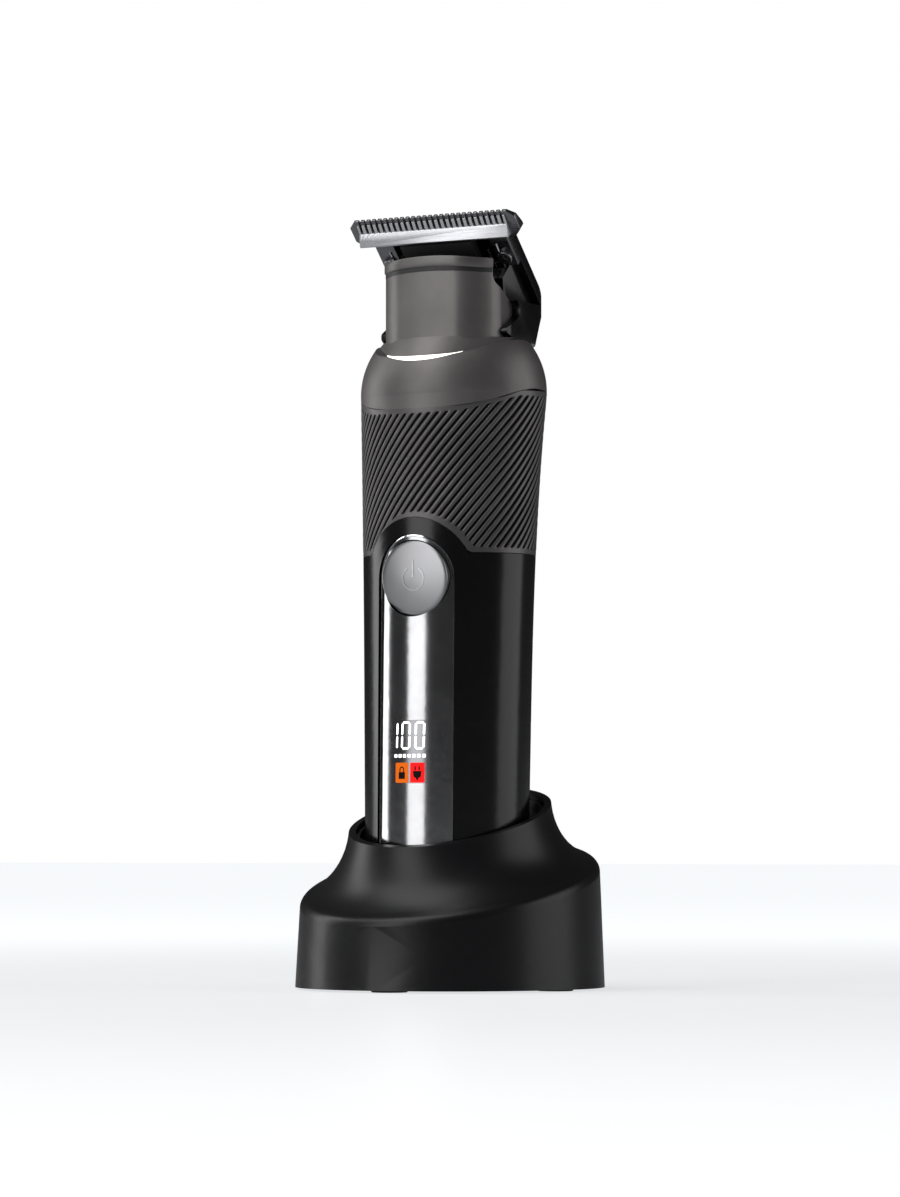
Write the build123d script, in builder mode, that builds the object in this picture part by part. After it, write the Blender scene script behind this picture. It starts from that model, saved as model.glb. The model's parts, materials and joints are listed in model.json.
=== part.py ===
from build123d import *

import os
from math import acos, asin, atan, cos, radians, sin, tan

# Body groomer: a T-blade trimmer standing in its charging stand. Millimetres.
# The floor is Z = 0, the stand's axis is the Z axis, and the front faces -Y.

# --- Charging stand ---------------------------------------------------------
stand_radius = 34.3          # at the floor
stand_draft = 1.1            # the wall leans in by this much at the sloping edge
stand_wall = 1.6
foot_height = 0.5            # the rubber feet lift the base off the floor
edge_height = 24.0           # sloping edge of the drum, at the axis
edge_slope = 0.252
edge_round = 2.5
rim_height = 38.1            # mouth of the well, at the axis
rim_slope = 0.299
rim_gap = 3.4                # from the handle's side to the outside of the rim
flare_overhang = 2.8         # the flare's curve is centred this far outside the edge
flare_drop = 16.3
flare_rise = 1.9             # and its centre stands this far above the rim
flare_sections = 6

# --- Handle -----------------------------------------------------------------
handle_bottom = 12.0         # docked in the well
waist_height = 47.0
neck_height = 143.5          # highest point of the seam under the head
handle_half_width = 19.0     # at the waist
handle_front = 17.45
handle_back = 15.0
shell_wall = 2.2
sleeve_thickness = 1.2
core_wall = 1.8              # shell wall under the sleeve
collar_wall = 2.0
core_drop = 7.5              # top of the inner core, below the neck
collar_height = 11.1         # height of the smooth band between grip and seam

# --- Front strip, button and display ----------------------------------------
button_height = 90.4
button_radius = 8.3
button_thickness = 2.0
button_travel = 0.6
button_tilt = 4.0            # degrees, the lower edge stands forward
button_recess = 0.9          # the disc's centre, behind the strip's crest
strip_half_width = 9.6
strip_thickness = 1.0
strip_crown_radius = 17.0
strip_bottom_margin = 2.0    # above the handle's bottom
arch_radius = 13.4           # of the sleeve over the button
arch_foot_round = 2.0
grip_rise = 5.4              # lower edge of the sleeve above the button's centre
display_height = 51.5
display_size = (11.0, 17.0)

# --- Inside the handle ------------------------------------------------------
board_face = -12.0           # front of the main board
board_thickness = 1.2
board_half_width = 9.6
cell_radius = 9.1
cell_length = 65.0
cell_bottom = 19.0
motor_radius = 10.2
motor_length = 25.0
motor_axis = -1.0            # Y of the motor shaft
shaft_radius = 1.0
bracket_thickness = 2.2
bracket_drop = 15.0          # top of the motor bracket, below the neck
deck_thickness = 2.0

# --- Drive ------------------------------------------------------------------
throw = 1.2                  # of the eccentric pin
crank_pin_radius = 1.0
crank_pin_top = 5.0          # above the neck
crank_slack = 0.2            # pin to fork, each side

# --- Head, measured up from the neck ----------------------------------------
blade_tip_rise = 27.5        # tip of the fixed blade
blade_tip_front = 9.5        # and its distance in front of the axis
blade_lean = 45.0            # degrees from upright, teeth forward
fixed_half_width = 21.0
fixed_thickness = 2.2
fixed_height = 7.0           # of the crossbar of the T
stem_half_width = 16.8
stem_length = 15.0
window_half_width = 12.2
moving_half_width = 18.85
moving_height = 5.1
moving_depth = 2.6           # of the wedge at its lower edge
tooth_pitch = 1.44
tooth_count = 25
tooth_length = 2.1
tooth_width = 0.8
fixed_tooth_length = 2.9
cover_half_width = 14.5
cover_front = 10.7
cover_top_rise = 18.6
cover_corner = 8.0
cover_wall = 1.4
holder_half_width = 16.4
holder_depth = 2.5           # of the housing behind the fixed blade

# --- Fits and fasteners -----------------------------------------------------
fit_gap = 0.05               # pieces of one body, each side
glide_gap = 0.08             # moving blade over fixed blade
dock_gap = 0.3               # handle in the well
seam_gap = 0.25              # head over handle
button_gap = 0.15
running_gap = 0.03           # shaft in its bushes
screw_shank = 1.1
screw_head = 2.0
screw_head_height = 1.2

# --- Derived ----------------------------------------------------------------
edge_radius = stand_radius - stand_draft
rim_radius = handle_half_width + rim_gap
flare_centre = edge_radius + flare_overhang
flare_centre_height = rim_height + flare_rise
flare_reach = flare_centre - rim_radius
grip_bottom = button_height + grip_rise
shoulder_height = neck_height - 12.5
core_top = neck_height - core_drop
bracket_top = neck_height - bracket_drop
motor_top = bracket_top - bracket_thickness
cover_top = neck_height + cover_top_rise

# Handle outline: height, and what each elliptical section adds to the waist's
# half width, front and back. The sides swell to the shoulder, then round in.
handle_sections = (
    (handle_bottom, -0.6, 0.35, -0.8),
    (waist_height, 0.0, 0.0, 0.0),
    (grip_bottom, 1.0, -0.65, 1.2),
    (shoulder_height, 2.5, -1.05, 4.6),
    (neck_height - 7.5, 2.2, -1.55, 4.4),
    (neck_height - 3.5, 0.9, -3.15, 3.0),
    (neck_height + 0.5, -1.8, -5.3, 1.2),
)

# Side view of the seam under the head: front to back, and height from the neck.
seam_points = ((-22.0, -5.2), (-14.3, -4.1), (-9.0, -2.3), (-3.6, -0.4), (6.0, 0.0), (22.0, -1.2))

blade_plane = Plane(
    origin=(0, -blade_tip_front, neck_height + blade_tip_rise),
    x_dir=(1, 0, 0),
    z_dir=(0, -cos(radians(blade_lean)), -sin(radians(blade_lean))),
)


def section_sizes(height, inset=0.0):
    """Half width, front and back of the handle at a height, between its sections."""
    below = [row for row in handle_sections if row[0] <= height][-1]
    above = [row for row in handle_sections if row[0] >= height][0]
    span = above[0] - below[0]
    share = (height - below[0]) / span if span else 0.0
    width, front, back = (low + share * (high - low) for low, high in zip(below[1:], above[1:]))
    return handle_half_width + width - inset, handle_front + front - inset, handle_back + back - inset


def handle_form(inset=0.0):
    """The whole handle outline, pulled in by inset all round."""
    with BuildPart() as form:
        for row in handle_sections:
            half_width, front, back = section_sizes(row[0], inset)
            with BuildSketch(Plane.XY.offset(row[0])):
                with Locations((0, (back - front) / 2)):
                    Ellipse(half_width, (front + back) / 2)
            if row[0] == shoulder_height:
                loft()
                with BuildSketch(Plane.XY.offset(row[0])):
                    with Locations((0, (back - front) / 2)):
                        Ellipse(half_width, (front + back) / 2)
        loft()
    return form.part


def handle_slice(inset, low, high):
    """The handle outline between two heights."""
    with BuildPart() as piece:
        add(handle_form(inset))
        split(bisect_by=Plane.XY.offset(low), keep=Keep.TOP)
        split(bisect_by=Plane.XY.offset(high), keep=Keep.BOTTOM)
    return piece.part


def above_seam(shift):
    """All the space above the seam's curve, moved up by shift."""
    with BuildPart() as space:
        with BuildSketch(Plane.YZ):
            with BuildLine():
                curve = Spline(*[(y, neck_height + z + shift) for y, z in seam_points])
                Polyline(curve @ 1, (22.0, neck_height + 60), (-22.0, neck_height + 60), curve @ 0)
            make_face()
        extrude(amount=30, both=True)
    return space.part


def tilted_plane(height):
    """Plane of a sloping section of the stand, at its height on the axis."""
    share = (height - edge_height) / (rim_height - edge_height)
    slope = edge_slope + share * (rim_slope - edge_slope)
    lean = atan(slope)
    return Plane(origin=(0, 0, height), x_dir=(1, 0, 0), z_dir=(0, -sin(lean), cos(lean)))


def tilted_disc(height, radius):
    """A sloping section that is round when seen from above."""
    plane = tilted_plane(height)
    with BuildSketch(plane) as disc:
        Ellipse(radius, radius / plane.z_dir.Z)
    return disc.sketch


def stand_form(inset=0.0):
    """Outside of the stand, or its inside when inset by the wall."""
    reach = flare_reach + inset
    drop = flare_drop + inset
    high = asin(flare_rise / drop)
    low = acos((flare_overhang + inset) / reach)
    angles = [low + (high - low) * step / (flare_sections - 1) for step in range(flare_sections)]
    rings = [(flare_centre - reach * cos(a), flare_centre_height - drop * sin(a)) for a in angles]
    edge = tilted_disc(rings[0][1], rings[0][0])
    with BuildPart() as form:
        with BuildSketch(Plane(origin=(0, 0, foot_height), x_dir=(0, 1, 0))):
            Circle(stand_radius - inset)
        add(edge)
        loft(ruled=True)
        for radius, height in rings:
            add(tilted_disc(height, radius))
        loft()
    return form.part


def crowned_form(depth):
    """A rounded bar whose front follows the handle's front line, set back by depth."""
    with BuildPart() as bar:
        for row in handle_sections[:4]:
            half_width, front, back = section_sizes(row[0])
            with BuildSketch(Plane.XY.offset(row[0])):
                with Locations((0, strip_crown_radius - front + fit_gap)):
                    Circle(strip_crown_radius - depth)
        loft()
    return bar.part


def strip_slab(grow, outer_depth, inner_depth):
    """Straight sides under a half-round top, between two depths of the crowned face."""
    low = handle_bottom + strip_bottom_margin - grow
    with BuildPart() as slab:
        with BuildSketch(Plane.XZ):
            with Locations((0, button_height)):
                Circle(strip_half_width + grow)
            with Locations((0, low)):
                Rectangle(2 * (strip_half_width + grow), button_height - low, align=(Align.CENTER, Align.MIN))
        extrude(amount=handle_front + 5)
        add(crowned_form(outer_depth), mode=Mode.INTERSECT)
        add(crowned_form(inner_depth), mode=Mode.SUBTRACT)
    return slab.part


def grip_space(shrink):
    """Everything above the sleeve's lower edge, which arches over the button."""
    space_height = neck_height - grip_bottom + 12
    with BuildPart() as space:
        with BuildSketch(Plane.XZ):
            with Locations((0, grip_bottom + shrink)):
                Rectangle(4 * handle_half_width, space_height, align=(Align.CENTER, Align.MIN))
            with Locations((0, button_height)):
                Circle(arch_radius + shrink, mode=Mode.SUBTRACT)
            feet = vertices().group_by(Axis.Z)[0].sort_by(Axis.X)[1:3]
            fillet(feet, arch_foot_round)
        extrude(amount=40)
        with Locations((0, 0, grip_bottom + shrink)):
            Box(4 * handle_half_width, 40, space_height, align=(Align.CENTER, Align.MIN, Align.MIN))
    return space.part


def screw(head_radius, head_height, shank_radius, length):
    """A pan-head screw, head down at Z = 0, shank up."""
    with BuildPart() as piece:
        Cylinder(head_radius, head_height, align=(Align.CENTER, Align.CENTER, Align.MIN))
        fillet(piece.edges().group_by(Axis.Z)[0], head_height / 3)
        with Locations((0, 0, head_height)):
            Cylinder(shank_radius, length, align=(Align.CENTER, Align.CENTER, Align.MIN))
        with Locations((0, 0, 0)):
            Box(head_radius, head_radius / 4, head_height, mode=Mode.SUBTRACT)
            Box(head_radius / 4, head_radius, head_height, mode=Mode.SUBTRACT)
    return piece.part


def coil(radius, wire, height, turns):
    """A compression spring standing on Z = 0."""
    with BuildPart() as spring:
        with BuildLine() as path:
            Helix((height - 2 * wire) / turns, height - 2 * wire, radius, center=(0, 0, wire))
        with BuildSketch(Plane(origin=path.line @ 0, z_dir=path.line % 0)):
            Circle(wire)
        sweep()
    return spring.part


def save(name, part):
    """Label a finished sub-part and write it."""
    part.label = name
    export_step(part, f"parts/{name}.step")


os.makedirs("parts", exist_ok=True)

# === Charging stand =========================================================

base_thickness = 2.5
base_top = foot_height + base_thickness
base_lean = stand_draft * base_top / (edge_height - edge_slope * stand_radius)
base_radius = stand_radius - stand_wall - base_lean
boss_radius = 2.8
boss_height = 9.0
boss_circle = base_radius - boss_radius
foot_radius = 4.0
foot_thickness = 0.9
foot_circle = base_radius - foot_radius - 2.0
cup_wall = 2.0
cup_skirt_wall = 0.8
cup_floor = handle_bottom - dock_gap
cup_bottom = cup_floor - cup_wall
cup_step = 26.0
cup_lip_drop = 1.2           # below the rim
flare_lean = asin(flare_rise / (flare_drop + stand_wall))
cup_radius = flare_centre - (flare_reach + stand_wall) * cos(flare_lean) - 2 * fit_gap
ring_wall = 1.8
ballast_height = 3.5
board_level = base_top + 2.4
inlet_size = (9.0, 7.3, 3.3)
inlet_front = stand_radius - 0.9
inlet_wall = 0.3
pin_places = [(-4.5, -1.0), (4.5, -1.0)]
pin_radius = 0.9
pin_head_radius = 1.5
pin_head_height = 1.0
pin_block_size = (16.0, 6.0)
contact_radius = 2.2
contact_recess = 0.8
contact_height = 2.2
pin_tip = handle_bottom + contact_recess - fit_gap
pin_seat = cup_bottom - fit_gap - pin_head_height
board_top = board_level + board_thickness

with BuildPart() as stand_shell:
    add(stand_form())
    fillet(stand_shell.edges().filter_by(GeomType.ELLIPSE), edge_round)
    add(stand_form(stand_wall), mode=Mode.SUBTRACT)
    with BuildSketch(Plane.XY.offset(base_top + fit_gap)):
        with PolarLocations(boss_circle, 4, start_angle=45):
            Circle(boss_radius)
            Circle(screw_shank, mode=Mode.SUBTRACT)
    extrude(amount=boss_height)
    with BuildSketch(Plane.XZ.offset(-inlet_front + 4)):
        with Locations((0, board_top + inlet_size[2] / 2)):
            RectangleRounded(inlet_size[0] + 0.4, inlet_size[2] + 0.4, 1.0)
    extrude(amount=-8, mode=Mode.SUBTRACT)
save("stand_shell", stand_shell.part)

with BuildPart() as base_plate:
    with BuildSketch(Plane.XY.offset(foot_height)):
        Circle(base_radius)
        with PolarLocations(boss_circle, 4, start_angle=45):
            Circle(screw_shank + fit_gap, mode=Mode.SUBTRACT)
    extrude(amount=base_thickness)
    with BuildSketch(Plane.XY.offset(foot_height)):
        with PolarLocations(foot_circle, 4):
            Circle(foot_radius + fit_gap)
    extrude(amount=foot_thickness - foot_height, mode=Mode.SUBTRACT)
    with BuildSketch(Plane.XY.offset(foot_height)):
        with PolarLocations(boss_circle, 4, start_angle=45):
            Circle(screw_head + 2 * fit_gap)
    extrude(amount=screw_head_height + 2 * fit_gap, mode=Mode.SUBTRACT)
    with BuildSketch(Plane.XY.offset(base_top)):
        Circle(cup_radius - 1.0)
        Circle(cup_radius - 1.0 - ring_wall, mode=Mode.SUBTRACT)
        with Locations((0, cup_radius)):
            Rectangle(inlet_size[0] + 4, 10, mode=Mode.SUBTRACT)
    extrude(amount=cup_bottom - base_top)
    with BuildSketch(Plane.XY.offset(base_top)):
        with PolarLocations(cup_radius / 2, 3, start_angle=30):
            Circle(1.6)
    extrude(amount=board_level - base_top)
save("base_plate", base_plate.part)

for index in range(4):
    with BuildPart() as foot:
        with PolarLocations(foot_circle, 1, start_angle=90 * index):
            Cylinder(foot_radius, foot_thickness, align=(Align.CENTER, Align.CENTER, Align.MIN))
        chamfer(foot.edges().group_by(Axis.Z)[0], 0.2)
    save(f"foot_{index + 1}", foot.part)

base_screw = screw(screw_head, screw_head_height, screw_shank, boss_height)
with BuildPart() as base_screws:
    with Locations((0, 0, foot_height + fit_gap)):
        with PolarLocations(boss_circle, 4, start_angle=45):
            add(base_screw)
save("base_screws", base_screws.part)

with BuildPart() as ballast_ring:
    with BuildSketch(Plane.XY.offset(base_top)):
        Circle(boss_circle - boss_radius - 0.4)
        Circle(cup_radius - 1.0 + 0.4, mode=Mode.SUBTRACT)
        Rectangle(inlet_size[0] + 4, boss_circle, align=(Align.CENTER, Align.MIN), mode=Mode.SUBTRACT)
    extrude(amount=ballast_height)
save("ballast_ring", ballast_ring.part)

with BuildPart() as charge_board:
    with BuildSketch(Plane.XY.offset(board_level)):
        Circle(cup_radius - ring_wall - 2.0)
        Rectangle(inlet_size[0] + 3, inlet_front - stand_wall, align=(Align.CENTER, Align.MIN))
    extrude(amount=board_thickness)
save("charge_board", charge_board.part)

with BuildPart() as usb_inlet:
    with BuildSketch(Plane.XZ.offset(-inlet_front)):
        with Locations((0, board_top + inlet_size[2] / 2)):
            RectangleRounded(inlet_size[0], inlet_size[2], 1.0)
    extrude(amount=inlet_size[1])
    with BuildSketch(Plane.XZ.offset(-inlet_front)):
        with Locations((0, board_top + inlet_size[2] / 2)):
            RectangleRounded(inlet_size[0] - 2 * inlet_wall, inlet_size[2] - 2 * inlet_wall, 0.8)
            RectangleRounded(inlet_size[0] - 2.6, 0.7, 0.2, mode=Mode.SUBTRACT)
    extrude(amount=inlet_size[1] - 1.0, mode=Mode.SUBTRACT)
save("usb_inlet", usb_inlet.part)

with BuildPart() as well_cup:
    with BuildSketch(Plane.XY.offset(cup_bottom)):
        Circle(cup_radius)
    extrude(amount=rim_height)
    split(bisect_by=tilted_plane(rim_height - cup_lip_drop), keep=Keep.BOTTOM)
    with BuildSketch(Plane.XY.offset(cup_step)):
        Circle(cup_radius - cup_skirt_wall)
    extrude(amount=rim_height, mode=Mode.SUBTRACT)
    half_width, front, back = section_sizes(handle_bottom, -dock_gap)
    with BuildSketch(Plane.XY.offset(cup_floor)):
        with Locations((0, (back - front) / 2)):
            Ellipse(half_width, (front + back) / 2)
    extrude(amount=dock_gap, mode=Mode.SUBTRACT)
    add(handle_slice(-dock_gap, handle_bottom, cup_step + 1), mode=Mode.SUBTRACT)
    with BuildSketch(Plane.XY.offset(cup_bottom)):
        with Locations(*pin_places):
            Circle(pin_radius + 2 * fit_gap)
    extrude(amount=cup_wall, mode=Mode.SUBTRACT)
save("well_cup", well_cup.part)

with BuildPart() as pin_block:
    with BuildSketch(Plane.XY.offset(board_top)):
        with Locations((0, pin_places[0][1])):
            RectangleRounded(pin_block_size[0], pin_block_size[1], 1.0)
        with Locations(*pin_places):
            Circle(pin_head_radius + 2 * fit_gap, mode=Mode.SUBTRACT)
    extrude(amount=cup_bottom - board_top)
save("pin_block", pin_block.part)

with BuildPart() as contact_pins:
    with BuildSketch(Plane.XY.offset(pin_seat)):
        with Locations(*pin_places):
            Circle(pin_head_radius)
    extrude(amount=pin_head_height)
    with BuildSketch(Plane.XY.offset(pin_seat)):
        with Locations(*pin_places):
            Circle(pin_radius)
    extrude(amount=pin_tip - pin_seat)
    fillet(contact_pins.edges().group_by(Axis.Z)[-1], 0.4)
save("contact_pins", contact_pins.part)

pin_coil = coil(pin_head_radius - 0.3, 0.2, pin_seat - board_top - 2 * fit_gap, 3)
with BuildPart() as pin_springs:
    with Locations(*[(x, y, board_top + fit_gap) for x, y in pin_places]):
        add(pin_coil)
save("pin_springs", pin_springs.part)

# === Handle =================================================================

core_floor = grip_bottom - 3.0
core_inset = sleeve_thickness + core_wall
button_front = section_sizes(button_height)[1] - fit_gap - button_recess
button_back = button_front - button_thickness
light_arc_rise = (-3.25, -4.95)
light_half_width = 9.6
window_depth = 3.0
cap_thickness = 2.2
contact_holes = contact_radius + fit_gap
cap_screw_places = [(-12.7, -1.0), (12.7, -1.0)]

with BuildPart() as sleeve_room:
    add(grip_space(0))
    add(handle_form(sleeve_thickness), mode=Mode.SUBTRACT)

with BuildPart() as body_shell:
    add(handle_slice(0, handle_bottom, core_top))
    fillet(body_shell.edges().group_by(Axis.Z)[0], 1.0)
    add(sleeve_room.part, mode=Mode.SUBTRACT)
    add(handle_slice(shell_wall, handle_bottom, core_floor), mode=Mode.SUBTRACT)
    add(handle_slice(core_inset, core_floor, core_top), mode=Mode.SUBTRACT)
    add(strip_slab(fit_gap, -4, strip_thickness + fit_gap), mode=Mode.SUBTRACT)
    with BuildSketch(Plane.XZ):
        with Locations((0, button_height)):
            Circle(button_radius + 2 * button_gap)
        with Locations((0, display_height)):
            Rectangle(display_size[0] + 0.4, display_size[1] + 0.4)
    extrude(amount=handle_front + 5, mode=Mode.SUBTRACT)
save("body_shell", body_shell.part)

with BuildPart() as front_strip:
    add(strip_slab(-fit_gap, 0, strip_thickness))
    with BuildSketch(Plane.XZ):
        with Locations((0, button_height)):
            Circle(button_radius + button_gap)
    extrude(amount=handle_front + 5, mode=Mode.SUBTRACT)
save("front_strip", front_strip.part)

with BuildPart() as grip_sleeve:
    add(handle_slice(0, core_floor, neck_height))
    add(grip_space(fit_gap), mode=Mode.INTERSECT)
    add(above_seam(-collar_height - fit_gap), mode=Mode.SUBTRACT)
    add(handle_form(sleeve_thickness - fit_gap), mode=Mode.SUBTRACT)
save("grip_sleeve", grip_sleeve.part)

with BuildPart() as light_slot:
    with BuildSketch(Plane.XZ):
        with BuildLine():
            sides, middle = (neck_height + rise for rise in light_arc_rise)
            arc = ThreePointArc((-light_half_width, sides), (0, middle), (light_half_width, sides))
            Polyline(arc @ 1, (light_half_width, neck_height), (-light_half_width, neck_height), arc @ 0)
        make_face()
    extrude(amount=handle_front + 5)

with BuildPart() as shoulder_collar:
    add(handle_slice(0, grip_bottom, neck_height + 0.5))
    add(above_seam(-collar_height), mode=Mode.INTERSECT)
    add(above_seam(0), mode=Mode.SUBTRACT)
    add(handle_slice(sleeve_thickness - fit_gap, grip_bottom, core_top + fit_gap), mode=Mode.SUBTRACT)
    add(handle_slice(collar_wall, core_top, neck_height + 0.5), mode=Mode.SUBTRACT)
    add(light_slot.part, mode=Mode.SUBTRACT)
save("shoulder_collar", shoulder_collar.part)

with BuildPart() as light_guide:
    add(handle_slice(0, core_top, neck_height + 0.5))
    add(handle_slice(collar_wall, core_top, neck_height + 0.5), mode=Mode.SUBTRACT)
    add(above_seam(0), mode=Mode.SUBTRACT)
    add(Pos(0, 0, fit_gap) * light_slot.part, mode=Mode.INTERSECT)
save("light_guide", light_guide.part)

with BuildPart() as power_button:
    with BuildSketch(Plane.XZ.offset(button_back)):
        with Locations((0, button_height)):
            Circle(button_radius)
    extrude(amount=button_thickness + 2)
    lean = radians(button_tilt)
    face_plane = Plane(
        origin=(0, -button_front, button_height),
        x_dir=(1, 0, 0),
        z_dir=(0, -cos(lean), sin(lean)),
    )
    split(bisect_by=face_plane, keep=Keep.BOTTOM)
    rim = power_button.edges().sort_by(Axis.Y)[0]
    chamfer(rim, 0.3)
    dish_radius = 80.0
    with Locations(face_plane.offset(dish_radius - 0.35)):
        Sphere(dish_radius, mode=Mode.SUBTRACT)
    with BuildSketch(Plane.XZ.offset(button_back)):
        with Locations((0, button_height)):
            Circle(1.2)
    extrude(amount=-button_travel)
save("power_button", power_button.part)

button_coil = coil(2.2, 0.3, button_back + board_face - 2 * fit_gap, 3)
with BuildPart() as button_spring:
    with Locations(Plane(origin=(0, board_face - fit_gap, button_height), z_dir=(0, -1, 0))):
        add(button_coil)
save("button_spring", button_spring.part)

with BuildPart() as tact_switch:
    with BuildSketch(Plane.XZ.offset(-board_face)):
        with Locations((0, button_height)):
            RectangleRounded(2.6, 2.6, 0.3)
    extrude(amount=0.5)
    with BuildSketch(Plane.XZ.offset(-board_face)):
        with Locations((0, button_height)):
            Circle(0.9)
    extrude(amount=button_back + board_face - 2 * button_travel - fit_gap)
save("tact_switch", tact_switch.part)

board_bottom = handle_bottom + 8.0
with BuildPart() as main_board:
    with BuildSketch(Plane.XZ.offset(-board_face)):
        with Locations((0, board_bottom)):
            Rectangle(2 * board_half_width, core_floor - 0.3 - board_bottom, align=(Align.CENTER, Align.MIN))
    extrude(amount=-board_thickness)
save("main_board", main_board.part)

with BuildPart() as display_module:
    with BuildSketch(Plane.XZ.offset(-board_face)):
        with Locations((0, display_height)):
            RectangleRounded(display_size[0], display_size[1], 0.8)
    extrude(amount=window_depth)
save("display_module", display_module.part)

with BuildPart() as bottom_cap:
    add(handle_slice(shell_wall + fit_gap, handle_bottom, handle_bottom + cap_thickness))
    with BuildSketch(Plane.XY.offset(handle_bottom)):
        with Locations(*pin_places):
            Circle(contact_holes)
        with Locations(*cap_screw_places):
            Circle(screw_shank + fit_gap)
    extrude(amount=cap_thickness, mode=Mode.SUBTRACT)
    with BuildSketch(Plane.XY.offset(handle_bottom)):
        with Locations(*cap_screw_places):
            Circle(screw_head + 2 * fit_gap)
    extrude(amount=screw_head_height + 2 * fit_gap, mode=Mode.SUBTRACT)
save("bottom_cap", bottom_cap.part)

with BuildPart() as charge_contacts:
    with BuildSketch(Plane.XY.offset(handle_bottom + contact_recess)):
        with Locations(*pin_places):
            Circle(contact_radius)
    extrude(amount=contact_height)
save("charge_contacts", charge_contacts.part)

seal_bottom = handle_bottom + cap_thickness + fit_gap
with BuildPart() as cap_seal:
    add(handle_slice(shell_wall + fit_gap, seal_bottom, seal_bottom + 1.2))
    add(handle_slice(shell_wall + 1.2, seal_bottom, seal_bottom + 1.2), mode=Mode.SUBTRACT)
save("cap_seal", cap_seal.part)

cap_screw = screw(screw_head, screw_head_height, screw_shank, 6.0)
with BuildPart() as cap_screws:
    with Locations(*[(x, y, handle_bottom + fit_gap) for x, y in cap_screw_places]):
        add(cap_screw)
save("cap_screws", cap_screws.part)

board_back = board_face + board_thickness
frame_front = board_back + fit_gap
frame_wall = 1.5
cell_axis = frame_front + frame_wall + 0.2 + cell_radius
frame_bottom = handle_bottom + 4.0
cell_top = cell_bottom + cell_length
frame_half_width = 14.2
motor_bottom = motor_top - motor_length
with BuildPart() as chassis:
    with BuildSketch(Plane.XY.offset(frame_bottom)):
        with Locations((0, frame_front)):
            Rectangle(2 * cell_radius, frame_wall, align=(Align.CENTER, Align.MIN))
        for side in (-1, 1):
            with Locations((side * (cell_radius + 1.2), frame_front)):
                Rectangle(1.8, 12, align=(Align.CENTER, Align.MIN))
    extrude(amount=cell_top + 3.0 - frame_bottom)
    for level in (frame_bottom, cell_top + 0.6):
        with BuildSketch(Plane.XY.offset(level)):
            with Locations((0, frame_front + 8.5)):
                RectangleRounded(2 * frame_half_width, 13, 2.0)
            with Locations((0, frame_front)):
                Rectangle(2 * cell_radius, 9, align=(Align.CENTER, Align.MIN))
            if level == frame_bottom:
                with Locations(*cap_screw_places):
                    Circle(screw_shank, mode=Mode.SUBTRACT)
        extrude(amount=2.4)
    with BuildSketch(Plane.XY.offset(cell_top + 0.6)):
        for side in (-1, 1):
            with Locations((side * (frame_half_width - 1.0), motor_axis)):
                Rectangle(2.0, 6.0)
    extrude(amount=motor_top - cell_top - 0.6)
save("chassis", chassis.part)

with BuildPart() as battery_cell:
    with BuildSketch(Plane.XY.offset(cell_bottom)):
        with Locations((0, cell_axis)):
            Circle(cell_radius)
    extrude(amount=cell_length)
    fillet(battery_cell.edges(), 0.6)
save("battery_cell", battery_cell.part)

tab_size = (6.0, 12.0, 0.2)
with BuildPart() as battery_tabs:
    with Locations((0, cell_axis, cell_bottom - tab_size[2]), (0, cell_axis, cell_top)):
        Box(*tab_size, align=(Align.CENTER, Align.CENTER, Align.MIN))
save("battery_tabs", battery_tabs.part)

# === Motor and drive ========================================================

can_wall = 1.0
bush_radius = 2.4
bush_length = 2.0
motor_screw_places = [(-6.0, motor_axis), (6.0, motor_axis)]
deck_bottom = core_top - deck_thickness
hub_radius = 3.2
hub_bottom = bracket_top + screw_head_height + 0.6
hub_top = core_top + 1.5
seal_radius = hub_radius + 1.8

with BuildPart() as motor_can:
    with BuildSketch(Plane.XY.offset(motor_bottom)):
        with Locations((0, motor_axis)):
            Circle(motor_radius)
            Circle(bush_radius, mode=Mode.SUBTRACT)
        with Locations(*motor_screw_places):
            Circle(screw_shank, mode=Mode.SUBTRACT)
    extrude(amount=motor_length)
    with BuildSketch(Plane.XY.offset(motor_bottom + can_wall)):
        with Locations((0, motor_axis)):
            Circle(motor_radius - can_wall)
    extrude(amount=motor_length - 2 * can_wall, mode=Mode.SUBTRACT)
    fillet(motor_can.edges().group_by(Axis.Z)[0].sort_by(SortBy.LENGTH)[-1], 0.6)
save("motor_can", motor_can.part)

with BuildPart() as motor_bushes:
    for level in (motor_bottom, motor_top - bush_length):
        with BuildSketch(Plane.XY.offset(level)):
            with Locations((0, motor_axis)):
                Circle(bush_radius)
                Circle(shaft_radius + running_gap, mode=Mode.SUBTRACT)
        extrude(amount=bush_length)
save("motor_bushes", motor_bushes.part)

with BuildPart() as motor_magnets:
    with BuildSketch(Plane.XY.offset(motor_bottom + 4.0)):
        with Locations((0, motor_axis)):
            Circle(motor_radius - can_wall)
            Circle(motor_radius - can_wall - 1.8, mode=Mode.SUBTRACT)
            Rectangle(2 * motor_radius, 5.0, mode=Mode.SUBTRACT)
    extrude(amount=16.0)
save("motor_magnets", motor_magnets.part)

with BuildPart() as motor_shaft:
    with BuildSketch(Plane.XY.offset(motor_bottom + 0.3)):
        with Locations((0, motor_axis)):
            Circle(shaft_radius)
    extrude(amount=hub_top - 1.5 - motor_bottom)
save("motor_shaft", motor_shaft.part)

with BuildPart() as armature:
    with BuildSketch(Plane.XY.offset(motor_bottom + 4.5)):
        with Locations((0, motor_axis)):
            Circle(motor_radius - can_wall - 2.5)
            with PolarLocations(motor_radius - can_wall - 2.5, 3):
                Rectangle(4.0, 1.6, mode=Mode.SUBTRACT)
            Circle(shaft_radius, mode=Mode.SUBTRACT)
    extrude(amount=15.0)
save("armature", armature.part)

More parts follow.
